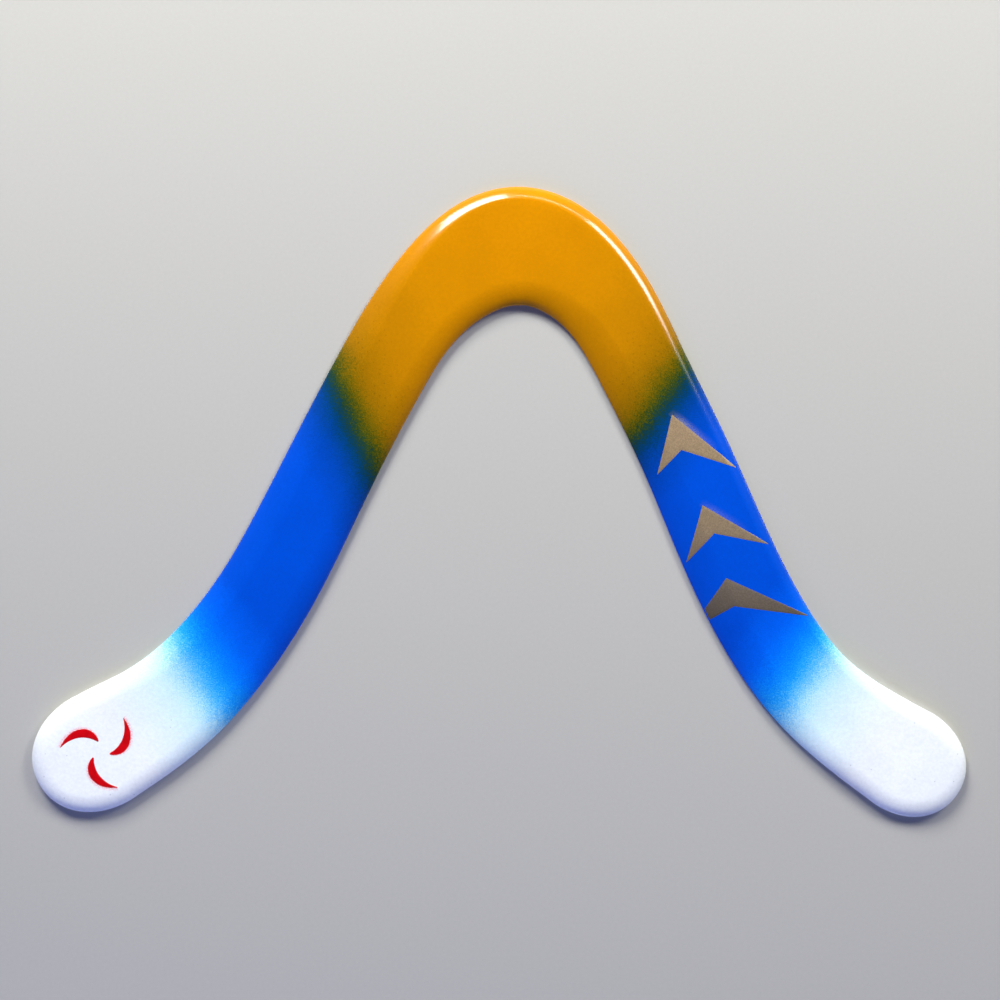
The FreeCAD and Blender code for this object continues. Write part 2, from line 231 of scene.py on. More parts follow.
def section(shape, rise):
    """Inset and height of the surface at each rise, -1 underneath, 0 at the nose and 1 on the flat top. With
    t a quarter turn times the rise and n the edge's fullness, above the nose it is the superellipse
        inset = bevel (1 - cos(t)^(2/n)),    z = nose + (thickness - nose) sin(t)^(2/n)
    and below the nose the quarter ellipse
        inset = UNDERCUT nose (1 - cos(t)),  z = nose (1 - sin(t))."""
    bevel, nose, fullness = (shape[:, k:k + 1] for k in range(3))
    angle = np.abs(rise) * np.pi / 2.0
    cos, sin = np.maximum(np.cos(angle), 0.0), np.sin(angle)
    power = 2.0 / fullness
    below = (UNDERCUT * nose * (1.0 - cos), nose * (1.0 - sin))
    above = (bevel * (1.0 - cos**power), nose + (THICKNESS_MM - nose) * sin**power)
    return [np.where(rise < 0.0, low, high) for low, high in zip(below, above)]


def section_inside(shape, rise, depth):
    """The section moved a depth inwards, along its own normal."""
    inset, z = section(shape, rise)
    inset0, z0 = section(shape, np.clip(rise - STEP, 0.0, 1.0))
    inset1, z1 = section(shape, np.clip(rise + STEP, 0.0, 1.0))
    length = np.maximum(np.hypot(inset1 - inset0, z1 - z0), 1e-12)
    inward = np.where(rise <= 0.0, -1.0, np.where(rise >= 1.0, 0.0, (z0 - z1) / length))
    up = np.where(rise <= 0.0, 0.0, np.where(rise >= 1.0, 1.0, (inset1 - inset0) / length))
    return inset - inward * depth, z - up * depth


def wall(turn, rise, depth):
    """Points up the edge at every turn and rise, as an array of shape (turns, rises, 3): the outline less
    its normal times the section's inset, at the section's height."""
    points, normals = rim(turn)
    inset, z = section_inside(edge_shape(turn), rise[None, :], depth)
    plan = points[:, None, :] - normals[:, None, :] * inset[:, :, None]
    return np.concatenate((plan, z[:, :, None]), axis=2)


# --- Meshes ---------------------------------------------------------------------------------------------
def mesh_object(name, points_mm, faces):
    """A mesh object on the root body, at the origin, from points in millimetres and quads of them."""
    mesh = bpy.data.meshes.new(name)
    mesh.from_pydata((points_mm * MM).tolist(), [], faces.tolist())
    work = bmesh.new()
    work.from_mesh(mesh)
    bmesh.ops.remove_doubles(work, verts=work.verts, dist=MERGE_MM * MM)
    bmesh.ops.dissolve_degenerate(work, edges=work.edges, dist=MERGE_MM * MM)
    bmesh.ops.recalc_face_normals(work, faces=work.faces)
    work.to_mesh(mesh)
    work.free()
    mesh.shade_smooth()
    mesh.set_sharp_from_angle(angle=math.radians(SHARP_ANGLE))
    piece = bpy.data.objects.new(name, mesh)
    bpy.context.scene.collection.objects.link(piece)
    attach(piece, "root")
    return piece


def tube_faces(rows, columns):
    """Quads of a grid whose points are numbered row by row, its last column joined to its first."""
    i = np.arange(rows - 1)[:, None]
    j = np.arange(columns)[None, :]
    k = (j + 1) % columns
    quads = (i * columns + j, i * columns + k, (i + 1) * columns + k, (i + 1) * columns + j)
    return np.stack(quads, axis=2).reshape(-1, 4)


def fade_mm(plan, fades):
    """Signed distances in millimetres to each fade line, positive on the lighter paint's side."""
    found = []
    for outer, inner, side in fades:
        start = np.array(outer)
        along = np.array(inner) - start
        along /= np.linalg.norm(along)
        across = np.array((-along[1], along[0])) * side
        found.append((plan - start) @ across)
    return found


def paint_zones(plan):
    """How far, in millimetres, each point lies inside the yellow of the elbow and inside a tip's white."""
    elbow = np.minimum(*fade_mm(plan, ELBOW_FADES_MM))
    tips = np.maximum(*fade_mm(plan, TIP_FADES_MM))
    return elbow, tips


def float_attribute(piece, name, values):
    piece.data.attributes.new(name, "FLOAT", "POINT").data.foreach_set("value", values.astype(np.float32))


def plan_of(piece):
    """The plan coordinates of a piece's vertices, in millimetres."""
    points = np.empty(len(piece.data.vertices) * 3, np.float32)
    piece.data.vertices.foreach_get("co", points)
    return points.reshape(-1, 3)[:, :2] / MM


def lacquer_skin(name, along_count, rise_count, across_count):
    """The lacquered outside of the board as one grid. Down its length run stations from the left tip to the
    right one, each a pair of facing rim points. Round each station runs a closed loop: up the outer edge,
    over the flat top, down the inner edge, and back again inside, one clear coat deeper."""
    cap = 0.5 - 0.5 * np.cos(np.linspace(0.0, np.pi / 2.0, rise_count * 2))  # from the very tip, 0 to 0.5
    side = np.linspace(0.0, 1.0, along_count)
    outer = np.concatenate((3.5 + cap[:-1], side, 2.0 - (0.5 + cap[-2::-1])))
    inner = np.concatenate((3.5 - cap[:-1], 3.0 - side, 1.5 + cap[-2::-1]))
    rises = np.concatenate((np.linspace(-1.0, 0.0, 6), np.linspace(0.0, 1.0, rise_count)[1:]))
    share = np.linspace(0.0, 1.0, across_count)[1:-1, None]
    loops = []
    for depth, way in ((0.0, 1), (CLEAR_COAT_MM, -1)):
        near, far = wall(outer, rises, depth), wall(inner, rises, depth)
        top = near[:, -1:, :] + (far[:, -1:, :] - near[:, -1:, :]) * share
        loops.append(np.concatenate((near, top, far[:, ::-1, :]), axis=1)[:, ::way, :])
    grid = np.concatenate(loops, axis=1)
    faces = tube_faces(grid.shape[0], grid.shape[1])
    return mesh_object(name, grid.reshape(-1, 3), faces)


# --- Stencilled films -----------------------------------------------------------------------------------
RIM_TURNS = np.arange(0.0, 4.0, RIM_STEP)
RIM_POINTS, RIM_NORMALS = rim(RIM_TURNS)


def inset_of(plan):
    """The nearest sample of the outline to each plan point, and how far inside it the point is."""
    nearest = np.array([np.argmin(((RIM_POINTS - point) ** 2).sum(axis=1)) for point in plan])
    inset = ((RIM_POINTS[nearest] - plan) * RIM_NORMALS[nearest]).sum(axis=1)[:, None]
    return nearest, inset


def lacquer_height(plan):
    """The height of the lacquer over plan points: the flat top, or the edge's section at the point's inset,
    found by halving the rise again and again."""
    nearest, inset = inset_of(plan)
    shape = edge_shape(RIM_TURNS[nearest])
    low, high = np.zeros_like(inset), np.ones_like(inset)
    for _ in range(HALVINGS):
        middle = (low + high) / 2.0
        short = section(shape, middle)[0] < inset
        low, high = np.where(short, middle, low), np.where(short, high, middle)
    height = section(shape, low)[1]
    return np.where(inset >= shape[:, :1], THICKNESS_MM, height)[:, 0]


def kept_on(plan):
    """Plan points moved in to RIM_GAP_MM from the outline where they lie nearer to it or outside it."""
    nearest, inset = inset_of(plan)
    return plan - RIM_NORMALS[nearest] * np.maximum(RIM_GAP_MM - inset, 0.0)


def film(name, upper, lower, across_count, film_mm):
    """A closed film on the lacquer between two lines of plan points: a grid of straight spans from one line
    to the other, once on top and once a hair under the lacquer, pinched shut at both ends."""
    share = np.linspace(0.0, 1.0, across_count)[None, :, None]
    plan = upper[:, None, :] + (lower - upper)[:, None, :] * share
    plan = kept_on(plan.reshape(-1, 2)).reshape(plan.shape)
    height = lacquer_height(plan.reshape(-1, 2)).reshape(plan.shape[:2])[:, :, None]
    crown = film_mm * (1.0 - (2.0 * share - 1.0) ** CROWN_POWER)
    top = np.concatenate((plan, height + crown), axis=2)
    under = np.concatenate((plan, height - SUNK_MM), axis=2)
    grid = np.concatenate((top, under[:, ::-1, :]), axis=1)
    ends = [np.concatenate((row, row[::-1])) for row in ((top + under) / 2.0)[[0, -1]]]
    grid = np.concatenate((ends[0][None], grid, ends[1][None]), axis=0)
    faces = tube_faces(grid.shape[0], grid.shape[1])
    return mesh_object(name, grid.reshape(-1, 3), faces)


def chevron_lines(corners, count):
    """The upper and lower edges of a chevron, from its right tip over the apex and the notch to its left."""
    apex, notch, right_end, left_end = (np.array(point) for point in corners)
    f = np.linspace(0.0, 1.0, count)[:, None]
    (right_high, right_low), (left_high, left_low) = (
        (apex + (high - apex) * f, notch + (low - notch) * f) for high, low in (right_end, left_end))
    upper = np.concatenate((right_high[::-1], left_high[1:]))
    lower = np.concatenate((right_low[::-1], left_low[1:]))
    return upper, lower


def blade_lines(number, count):
    """The outer and inner arc of a whirl blade: a spiral whose radius grows evenly with its angle, with a
    half width that swells as the sine of pi f to the power BLADE_LEAN."""
    f = np.linspace(0.0, 1.0, count)
    angle = np.radians(WHIRL_START + 360.0 * number / WHIRL_BLADES + WHIRL_SWEEP * f)
    radius = WHIRL_INNER_MM + (WHIRL_OUTER_MM - WHIRL_INNER_MM) * f
    half = (BLUNT_MM + BLADE_WIDTH_MM * np.sin(np.pi * f**BLADE_LEAN)) / 2.0
    around = np.stack((np.cos(angle), np.sin(angle)), axis=1)
    return [WHIRL_CENTRE_MM + around * (radius + way * half)[:, None] for way in (1.0, -1.0)]


# --- Helpers for materials ------------------------------------------------------------------------------
MIX_A, MIX_B, MIX_RESULT = 6, 7, 2  # the colour sockets of a Mix node
GRAIN_LOW, GRAIN_HIGH = 0.3, 0.7  # noise seldom goes past these
SEED_SLANT = 1.7  # a seed shifts a pattern this many times as far in Y as in X
SPECK_SOFTNESS = 0.6  # the share of a speck's radius that is solid
OVERSPRAY = (0.75, 0.3, 0.0)  # how dense it is beside each chevron
HALO_FALL = 1.7  # how fast overspray thins out away from its stencil
HALO_FULL, HALO_GONE = 0.15, 0.7  # the shares of a chevron's edge where it is densest, and where it ends
STENCIL_LIFT_MM = 1.0  # how far under a stencil's edge the overspray is drawn, hidden by the film


def linear(hex_colour):
    """An sRGB hex colour as linear red, green, blue and alpha."""
    parts = [int(hex_colour[i:i + 2], 16) / 255.0 for i in (1, 3, 5)]
    return [c / 12.92 if c <= 0.04045 else ((c + 0.055) / 1.055) ** 2.4 for c in parts] + [1.0]


def add(tree, kind, *given, out=0, **settings):
    """Adds one node with its settings. Each input given is a value, or another node's output to link: in the
    order of the sockets, or in a dict by socket. The result is the output asked for, or the node if it has
    none."""
    found = tree.nodes.new("ShaderNode" + kind)
    for name, value in settings.items():
        setattr(found, name, value)
    inputs = {}
    for place, value in enumerate(given):
        inputs.update(value if isinstance(value, dict) else {place: value})
    for name, value in inputs.items():
        if isinstance(value, bpy.types.NodeSocket):
            tree.links.new(value, found.inputs[name])
        else:
            found.inputs[name].default_value = value
    return found.outputs[out] if found.outputs else found


def ramp(tree, value, stops):
    """The colour at a value, blended between stops of (value, hex colour)."""
    low, high = stops[0][0], stops[-1][0]
    found = add(tree, "ValToRGB", add(tree, "MapRange", value, low, high))
    marks = found.node.color_ramp.elements
    marks.remove(marks[1])
    for i, (mark_value, colour) in enumerate(stops):
        place = (mark_value - low) / (high - low)
        mark = marks.new(place) if i else marks[0]
        mark.position = place
        mark.color = linear(colour)
    return found


def layered(tree, colour, *coats):
    """The colour under thin coats sprayed over it in turn, each given as the share that it hides and its own
    colour."""
    for share, coat in coats:
        inputs = {0: share, MIX_A: colour, MIX_B: coat}
        colour = add(tree, "Mix", inputs, out=MIX_RESULT, data_type="RGBA")
    return colour


def mottled(tree, colour, grain, least, most):
    """The colour made darker and lighter by a grain, from least to most times as light."""
    shade = add(tree, "MapRange", grain, GRAIN_LOW, GRAIN_HIGH, least, most)
    inputs = {0: 1.0, MIX_A: colour, MIX_B: shade}
    return add(tree, "Mix", inputs, out=MIX_RESULT, data_type="RGBA", blend_type="MULTIPLY")


def place_on(tree, seed=0.0, stretch=(1.0, 1.0, 1.0)):
    """Object coordinates, shifted by the seed in metres and stretched."""
    inputs = {"Location": (seed, SEED_SLANT * seed, 0.0), "Scale": stretch}
    return add(tree, "Mapping", add(tree, "TexCoord", out="Object"), inputs)


def noise(tree, size_mm, detail=2.0, seed=0.0, stretch=(1.0, 1.0, 1.0)):
    """Noise whose blobs are about size_mm across."""
    inputs = {"Scale": 1.0 / (size_mm * MM), "Detail": detail}
    return add(tree, "TexNoise", place_on(tree, seed, stretch), inputs)


def specks(tree, spacing_mm, size_mm, share, seed):
    """1 inside round specks up to size_mm across, one to a cell of spacing_mm in that share of the cells."""
    inputs = {"Scale": 1.0 / (spacing_mm * MM)}
    distance = add(tree, "TexVoronoi", place_on(tree, seed), inputs, voronoi_dimensions="2D")
    reach = size_mm / spacing_mm / 2.0
    dots = add(tree, "MapRange", distance, reach, reach * SPECK_SOFTNESS)
    lot = add(tree, "SeparateColor", distance.node.outputs["Color"])
    chosen = add(tree, "Math", lot, share, operation="LESS_THAN")
    return add(tree, "Math", dots, chosen, operation="MULTIPLY")


def new_material(name):
    """A material with an empty node tree."""
    made = bpy.data.materials.new(name)
    made.use_nodes = True
    made.node_tree.nodes.clear()
    return made, made.node_tree


def finish_material(tree, colour, bump=None, bump_mm=0.0, **sockets):
    """The Principled shader with its colour, its bump of a given depth, and other sockets by name."""
    inputs = {"Base Color": colour}
    inputs.update({name.replace("_", " "): value for name, value in sockets.items()})
    if bump is not None:
        relief = add(tree, "Bump", {"Height": bump, "Distance": bump_mm * MM})
        inputs["Normal"] = relief
        if "Coat Weight" in inputs:
            inputs["Coat Normal"] = relief
    add(tree, "OutputMaterial", add(tree, "BsdfPrincipled", inputs))


def paint(piece, material):
    """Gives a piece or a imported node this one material."""
    for _ in range(len(piece.material_slots), 1):
        piece.data.materials.append(None)
    for slot in piece.material_slots:
        slot.material = material


# --- Settings a user would change -----------------------------------------------------------------------
class PaintSettings(bpy.types.PropertyGroup):
    """Colours and grain of the sprayed paint."""
    yellow: bpy.props.StringProperty(
        name="Elbow yellow", description="Chrome yellow sprayed on the elbow", default="#CB8402")
    blue: bpy.props.StringProperty(
        name="Arm blue", description="Cobalt blue sprayed on both arms", default="#014CCC")
    white: bpy.props.StringProperty(
        name="Tip white", description="White sprayed on both tips", default="#F3F9FB")
    speckle: bpy.props.FloatProperty(
        name="Speckle", description="How far spray grains scatter in a fade, in mm", default=11.0, min=0.0)
    grain: bpy.props.FloatProperty(
        name="Grain size", description="Width of one spray grain, in mm", default=0.5, min=0.1)


class StencilSettings(bpy.types.PropertyGroup):
    """The stencilled marks."""
    film: bpy.props.FloatProperty(
        name="Film", description="Thickness of a stencilled film", default=0.00008, unit="LENGTH")
    bronze: bpy.props.StringProperty(
        name="Bronze", description="Body colour of the bronze paint", default="#A89070")
    red: bpy.props.StringProperty(
        name="Red", description="Signal red of the whirl", default="#D9000F")


class StageSettings(bpy.types.PropertyGroup):
    """Floor, lights and camera."""
    floor: bpy.props.StringProperty(
        name="Floor", description="Colour of the studio floor", default="#B4B4AF")
    key: bpy.props.FloatProperty(
        name="Key light", description="Power of the main window light, in watts", default=29.6, unit="POWER")
    view_height: bpy.props.FloatProperty(
        name="Camera height", description="Height of the camera over the floor", default=0.596, unit="LENGTH")


# --- Materials ------------------------------------------------------------------------------------------
def halo_beside(tree, x, y, start, end, reach_mm):
    """1 along a straight stencil edge, falling to 0 at reach_mm to the left of the way from start to end, and
    before the end of it."""
    start, end = np.array(start), np.array(end)
    length = float(np.linalg.norm(end - start))
    ahead = (end - start) / length
    found = []
    for axis in (ahead, np.array((-ahead[1], ahead[0]))):
        shifted = add(tree, "Math", x, float(axis[0]), -float(start @ axis), operation="MULTIPLY_ADD")
        found.append(add(tree, "Math", y, float(axis[1]), shifted, operation="MULTIPLY_ADD"))
    along, aside = found
    near = add(tree, "Math", add(tree, "MapRange", aside, reach_mm, 0.0), HALO_FALL, operation="POWER")
    by_start = add(tree, "MapRange", along, -reach_mm / 2.0, HALO_FULL * length)
    by_end = add(tree, "MapRange", along, HALO_GONE * length, HALO_FULL * length)
    fade = add(tree, "Math", by_start, by_end, operation="MULTIPLY")
    on_side = add(tree, "Math", aside, -STENCIL_LIFT_MM, operation="GREATER_THAN")
    fade = add(tree, "Math", fade, on_side, operation="MULTIPLY")
    return add(tree, "Math", near, fade, operation="MULTIPLY")


def halo_round_whirl(tree, x, y, reach_mm):
    """1 at the outer arc of each whirl blade, falling to 0 at reach_mm outside it."""
    east = add(tree, "Math", x, WHIRL_CENTRE_MM[0], operation="SUBTRACT")
    north = add(tree, "Math", y, WHIRL_CENTRE_MM[1], operation="SUBTRACT")
    square = add(tree, "Math", north, north, operation="MULTIPLY")
    square = add(tree, "Math", east, east, square, operation="MULTIPLY_ADD")
    radius = add(tree, "Math", square, operation="SQRT")
    angle = add(tree, "Math", north, east, operation="ARCTAN2")
    turned = add(tree, "Math", angle, math.radians(WHIRL_START), operation="SUBTRACT")
    part = add(tree, "Math", turned, 2.0 * math.pi / WHIRL_BLADES, operation="FLOORED_MODULO")
    f = add(tree, "Math", part, math.radians(WHIRL_SWEEP), operation="DIVIDE")
    lean = add(tree, "Math", f, BLADE_LEAN, operation="POWER")
    swell = add(tree, "Math", add(tree, "Math", lean, math.pi, operation="MULTIPLY"), operation="SINE")
    arc = add(tree, "Math", f, WHIRL_OUTER_MM - WHIRL_INNER_MM, WHIRL_INNER_MM, operation="MULTIPLY_ADD")
    edge = add(tree, "Math", swell, BLADE_WIDTH_MM / 2.0, arc, operation="MULTIPLY_ADD")
    outside = add(tree, "Math", radius, edge, operation="SUBTRACT")
    near = add(tree, "Math", add(tree, "MapRange", outside, reach_mm, 0.0), HALO_FALL, operation="POWER")
    on_blade = add(tree, "Math", f, 1.0, operation="LESS_THAN")
    beyond = add(tree, "Math", outside, -BLUNT_MM, operation="GREATER_THAN")
    within = add(tree, "Math", on_blade, beyond, operation="MULTIPLY")
    return add(tree, "Math", near, within, operation="MULTIPLY")


def lacquered_spray_paint(settings):
    """Two-pack polyurethane lacquer over sprayed acrylic: a deep wet gloss with a faint orange peel, and
    under it colours that give way to each other through scattered spray grains."""
    made, tree = new_material("two_pack_lacquer_over_sprayed_acrylic")
    elbow = add(tree, "Attribute", out="Fac", attribute_name="elbow_mm")
    tip = add(tree, "Attribute", out="Fac", attribute_name="tip_mm")
    fine = noise(tree, settings.grain, detail=2.0, seed=0.3)
    coarse = noise(tree, 2.6 * settings.grain, detail=1.0, seed=0.7)
    coarse_part = add(tree, "Math", coarse, 0.2, operation="MULTIPLY")
    grains = add(tree, "Math", fine, 0.8, coarse_part, operation="MULTIPLY_ADD")
    scatter = add(tree, "MapRange", grains, 0.0, 1.0, -settings.speckle, settings.speckle)
    drift = add(tree, "MapRange", noise(tree, 18.0, seed=0.1), GRAIN_LOW, GRAIN_HIGH, -1.2, 1.2)
    scatter = add(tree, "Math", scatter, drift, operation="ADD")
    # Yellow meets blue through olive and bottle green, because the grains of both lie side by side.
    warm = ramp(tree, add(tree, "Math", elbow, scatter, operation="ADD"), (
        (-30.0, settings.blue), (-18.0, "#0244AE"), (-11.0, "#023E88"), (-7.0, "#043C60"), (-4.0, "#123A3A"),
        (-1.5, "#28431A"), (1.5, "#4C4F09"), (5.0, "#745E05"), (9.0, "#926804"), (14.0, "#A37003"),
        (24.0, "#B67903"), (50.0, "#C58102"), (90.0, settings.yellow)))
    # White meets blue through sky blue.
    cool = ramp(tree, add(tree, "Math", tip, scatter, operation="ADD"), (
        (-30.0, settings.blue), (-16.0, "#025EE6"), (-9.0, "#0372F2"), (-3.0, "#0C8CF7"), (1.0, "#22A2F7"),
        (5.0, "#53B9F8"), (9.0, "#8AD3F8"), (13.0, "#B4E7FA"), (18.0, "#CFF1FB"), (28.0, "#E2F6FC"),
        (45.0, settings.white)))
    towards_tip = add(tree, "MapRange", tip, -40.0, -30.0)
    # Stray dark grains on the yellow near its fade, and a few specks of dust on the white.
    beyond = add(tree, "MapRange", elbow, 3.0, 8.0)
    near_fade = add(tree, "Math", beyond, add(tree, "MapRange", elbow, 34.0, 10.0), operation="MULTIPLY")
    stray = add(tree, "Math", specks(tree, 2.4, 0.8, 0.35, 0.2), near_fade, operation="MULTIPLY")
    stray = add(tree, "Math", stray, 0.55, operation="MULTIPLY")
    on_white = add(tree, "MapRange", tip, 16.0, 24.0, 0.0, 0.35)
    dust = add(tree, "Math", specks(tree, 9.0, 0.7, 0.3, 0.5), on_white, operation="MULTIPLY")
    colour = layered(
        tree, warm, (towards_tip, cool), (stray, linear("#6E5206")), (dust, linear("#8C97A8")))
    # Paint lies a little unevenly: soft clouds and a fine mottle.
    colour = mottled(tree, colour, noise(tree, 22.0, seed=0.9), 0.965, 1.035)
    colour = mottled(tree, colour, noise(tree, 1.3, detail=3.0, seed=0.4), 0.955, 1.045)
    # Overspray that crept past the stencils, less of it at each chevron.
    x = add(tree, "SeparateXYZ", place_on(tree, stretch=FROM_METRES_TO_MM))
    y = x.node.outputs["Y"]
    mist = add(tree, "MapRange", fine, 0.35, 0.62)
    coats = []
    for (apex, _, (right_tip, _), _), density in zip(CHEVRONS_MM, OVERSPRAY):
        halo = halo_beside(tree, x, y, apex, right_tip, 3.2)
        haze = add(tree, "MapRange", mist, 0.0, 1.0, 0.0, density)
        haze = add(tree, "Math", halo, haze, operation="MULTIPLY")
        coats.append((haze, linear("#B4AC9E")))
    halo = halo_round_whirl(tree, x, y, 2.2)
    coats.append((add(tree, "Math", halo, mist, operation="MULTIPLY"), linear("#F0303C")))
    colour = layered(tree, colour, *coats)
    peel = noise(tree, 2.2, detail=1.0, seed=0.6)
    finish_material(tree, colour, bump=peel, bump_mm=0.006, Roughness=0.42, Specular_IOR_Level=0.0,
                    Coat_Weight=1.0, Coat_Roughness=0.15, Coat_IOR=1.5)
    return made


def sprayed_acrylic(name, hex_colour, seed):
    """Matt acrylic sprayed from a can: an even colour with a dry, finely pebbled surface."""
    made, tree = new_material(name)
    grain = noise(tree, 0.6, detail=2.0, seed=seed)
    colour = mottled(tree, linear(hex_colour), grain, 0.93, 1.05)
    finish_material(tree, colour, bump=grain, bump_mm=0.02, Roughness=0.55)
    return made


def rotary_cut_birch(name, seed, across):
    """Birch veneer, rotary cut: pale cream with long soft figure, fine dark vessel dashes along the grain,
    and a thin satin sealer. across turns the grain from X to Y, as in every second ply."""
    made, tree = new_material(name)
    along = (1.0, 0.045, 1.0) if across else (0.045, 1.0, 1.0)
    figure = noise(tree, 5.0, detail=4.0, seed=seed, stretch=along)
    colour = ramp(tree, figure, ((0.3, "#C9A372"), (0.45, "#DDBE90"), (0.55, "#E6CBA2"), (0.7, "#D2AE7D")))
    fibres = noise(tree, 0.35, detail=2.0, seed=seed + 0.2, stretch=along)
    fibre_share = add(tree, "MapRange", fibres, 0.55, 0.75, 0.0, 0.4)
    dashes = (1.0, 0.12, 1.0) if across else (0.12, 1.0, 1.0)
    vessels = noise(tree, 0.5, detail=0.0, seed=seed + 0.5, stretch=dashes)
    vessel_share = add(tree, "MapRange", vessels, 0.68, 0.76, 0.0, 0.55)
    colour = layered(tree, colour, (fibre_share, linear("#A97E50")), (vessel_share, linear("#8A6038")))
    finish_material(tree, colour, bump=fibres, bump_mm=0.015, Roughness=0.5, Coat_Weight=0.25,
                    Coat_Roughness=0.3)
    return made


def bronze_flake_paint(settings):
    """Bronze spray paint with fine metal flake: a brown-grey body with a sandy sparkle, painted darker and
    duller down the arm towards the tip. That darkening is painted shade for the window light that reflects
    less off the lower chevrons."""
    made, tree = new_material("bronze_flake_spray_paint")
    flake = noise(tree, 0.45, detail=2.0, seed=0.8)
    north_mm = add(tree, "SeparateXYZ", place_on(tree, stretch=FROM_METRES_TO_MM), out="Y")
    # Painted shade: the bronze's colour darkens along Y towards the tip, standing in for less reflected
    # window light.
    body = ramp(tree, north_mm, (
        (-50.0, "#60574B"), (-38.0, "#71665A"), (-15.0, "#8F7D65"), (10.0, "#9C8768"),
        (40.0, settings.bronze)))
    colour = mottled(tree, body, flake, 0.78, 1.24)
    finish_material(tree, colour, bump=flake, bump_mm=0.012, Metallic=0.25, Roughness=0.45)
    return made


def red_stencil_paint(settings):
    """Signal red acrylic sprayed through a stencil: dense and satin, a shade darker where it pooled."""
    made, tree = new_material("red_stencil_acrylic")
    pool = noise(tree, 3.0, detail=2.0, seed=0.2)
    pooled = add(tree, "MapRange", pool, 0.35, 0.65)
    colour = layered(tree, linear(settings.red), (pooled, linear("#C4000C")))
    finish_material(tree, colour, bump=noise(tree, 0.6, seed=0.9), bump_mm=0.01, Roughness=0.35,
                    Coat_Weight=0.4, Coat_Roughness=0.15)
    return made


def studio_paper(settings):
    """Seamless background paper: pale, matt, with a faint fibre mottle."""
    made, tree = new_material("seamless_background_paper")
    fibre = noise(tree, 1.5, detail=3.0)
    colour = mottled(tree, linear(settings.floor), fibre, 0.985, 1.015)
    finish_material(tree, colour, Roughness=0.9)
    return made


# --- Operators ------------------------------------------------------------------------------------------
class BOOMERANG_OT_lacquered_skin(bpy.types.Operator):
    """Makes the painted and lacquered outside of the board"""
    bl_idname = "boomerang.lacquered_skin"
    bl_label = "Lacquered skin"

    def execute(self, context):
        skin = lacquer_skin("lacquered_paint_skin", along_count=440, rise_count=24, across_count=12)
        for name, values in zip(("elbow_mm", "tip_mm"), paint_zones(plan_of(skin))):
            float_attribute(skin, name, values)
        paint(skin, lacquered_spray_paint(context.scene.boomerang_paint))
        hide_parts("clear_lacquer")
        return {"FINISHED"}


class BOOMERANG_OT_sprayed_coats(bpy.types.Operator):
    """Finishes the base coat and the colour coats under the lacquer"""
    bl_idname = "boomerang.sprayed_coats"
    bl_label = "Sprayed coats"

    def execute(self, context):
        colours = context.scene.boomerang_paint
        white = sprayed_acrylic("white_sprayed_acrylic", colours.white, 0.1)
        blue = sprayed_acrylic("blue_sprayed_acrylic", colours.blue, 0.2)
        yellow = sprayed_acrylic("yellow_sprayed_acrylic", colours.yellow, 0.3)
        coats = {
            "white_base_coat": white,
            "white_tip_coat_left": white,
            "white_tip_coat_right": white,
            "blue_coat_left": blue,
            "blue_coat_right": blue,
            "yellow_elbow_coat": yellow,
        }
        for name, material in coats.items():
            paint(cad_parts[name], material)
        return {"FINISHED"}


class BOOMERANG_OT_veneers(bpy.types.Operator):
    """Finishes the birch plies, the grain of every second one turned a quarter"""
    bl_idname = "boomerang.veneers"
    bl_label = "Birch veneers"

    def execute(self, context):
        plies = sorted(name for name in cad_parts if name.startswith("ply_"))
        for i, name in enumerate(plies):
            material = rotary_cut_birch("rotary_cut_birch_%02d" % (i + 1), 0.37 * i, across=i % 2 == 1)
            paint(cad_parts[name], material)
        return {"FINISHED"}


class BOOMERANG_OT_chevrons(bpy.types.Operator):
    """Makes the three stencilled bronze chevrons"""
    bl_idname = "boomerang.chevrons"
    bl_label = "Bronze chevrons"

    def execute(self, context):
        settings = context.scene.boomerang_stencils
        bronze = bronze_flake_paint(settings)
        for i, corners in enumerate(CHEVRONS_MM):
            upper, lower = chevron_lines(corners, 50)
            piece = film("bronze_chevron_film_%d" % (i + 1), upper, lower, 26, settings.film / MM)
            paint(piece, bronze)
            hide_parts("bronze_chevron_%d" % (i + 1))
        return {"FINISHED"}


class BOOMERANG_OT_whirl(bpy.types.Operator):
    """Makes the three stencilled red blades of the whirl"""
    bl_idname = "boomerang.whirl"
    bl_label = "Red whirl"

    def execute(self, context):
        settings = context.scene.boomerang_stencils
        red = red_stencil_paint(settings)
        for i in range(WHIRL_BLADES):
            outer, inner = blade_lines(i, 60)
            piece = film("red_whirl_film_%d" % (i + 1), outer, inner, 14, settings.film / MM)
            paint(piece, red)
            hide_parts("red_whirl_blade_%d" % (i + 1))
        return {"FINISHED"}


# --- Stage ----------------------------------------------------------------------------------------------
WINDOW_LIGHT = "#FFFDF8"
SKY_FILL = "#98A6FF"
WINDOW_DISTANCE = 1.4
FILL_DISTANCE = 1.6
FLOOR_HALF = 12.0
FLOOR_DROP = 0.00002  # keeps the floor clear of the board's underside
CAMERA_SHIFT = (0.0004, 0.0007)


def area_light(name, azimuth, zenith, distance, size, power, colour):
    """A rectangular light that faces the board, from an azimuth east of +Y and an angle off the vertical."""
    lamp = bpy.data.lights.new(name, "AREA")
    lamp.shape = "RECTANGLE"
    lamp.size, lamp.size_y = size
    lamp.energy = power
    lamp.color = linear(colour)[:3]
    a, z = math.radians(azimuth), math.radians(zenith)
    light = bpy.data.objects.new(name, lamp)
    way = (math.sin(a) * math.sin(z), math.cos(a) * math.sin(z), math.cos(z))
    light.location = [distance * part for part in way]
    light.rotation_euler = (-z, 0.0, -a)
    bpy.context.scene.collection.objects.link(light)
    return light


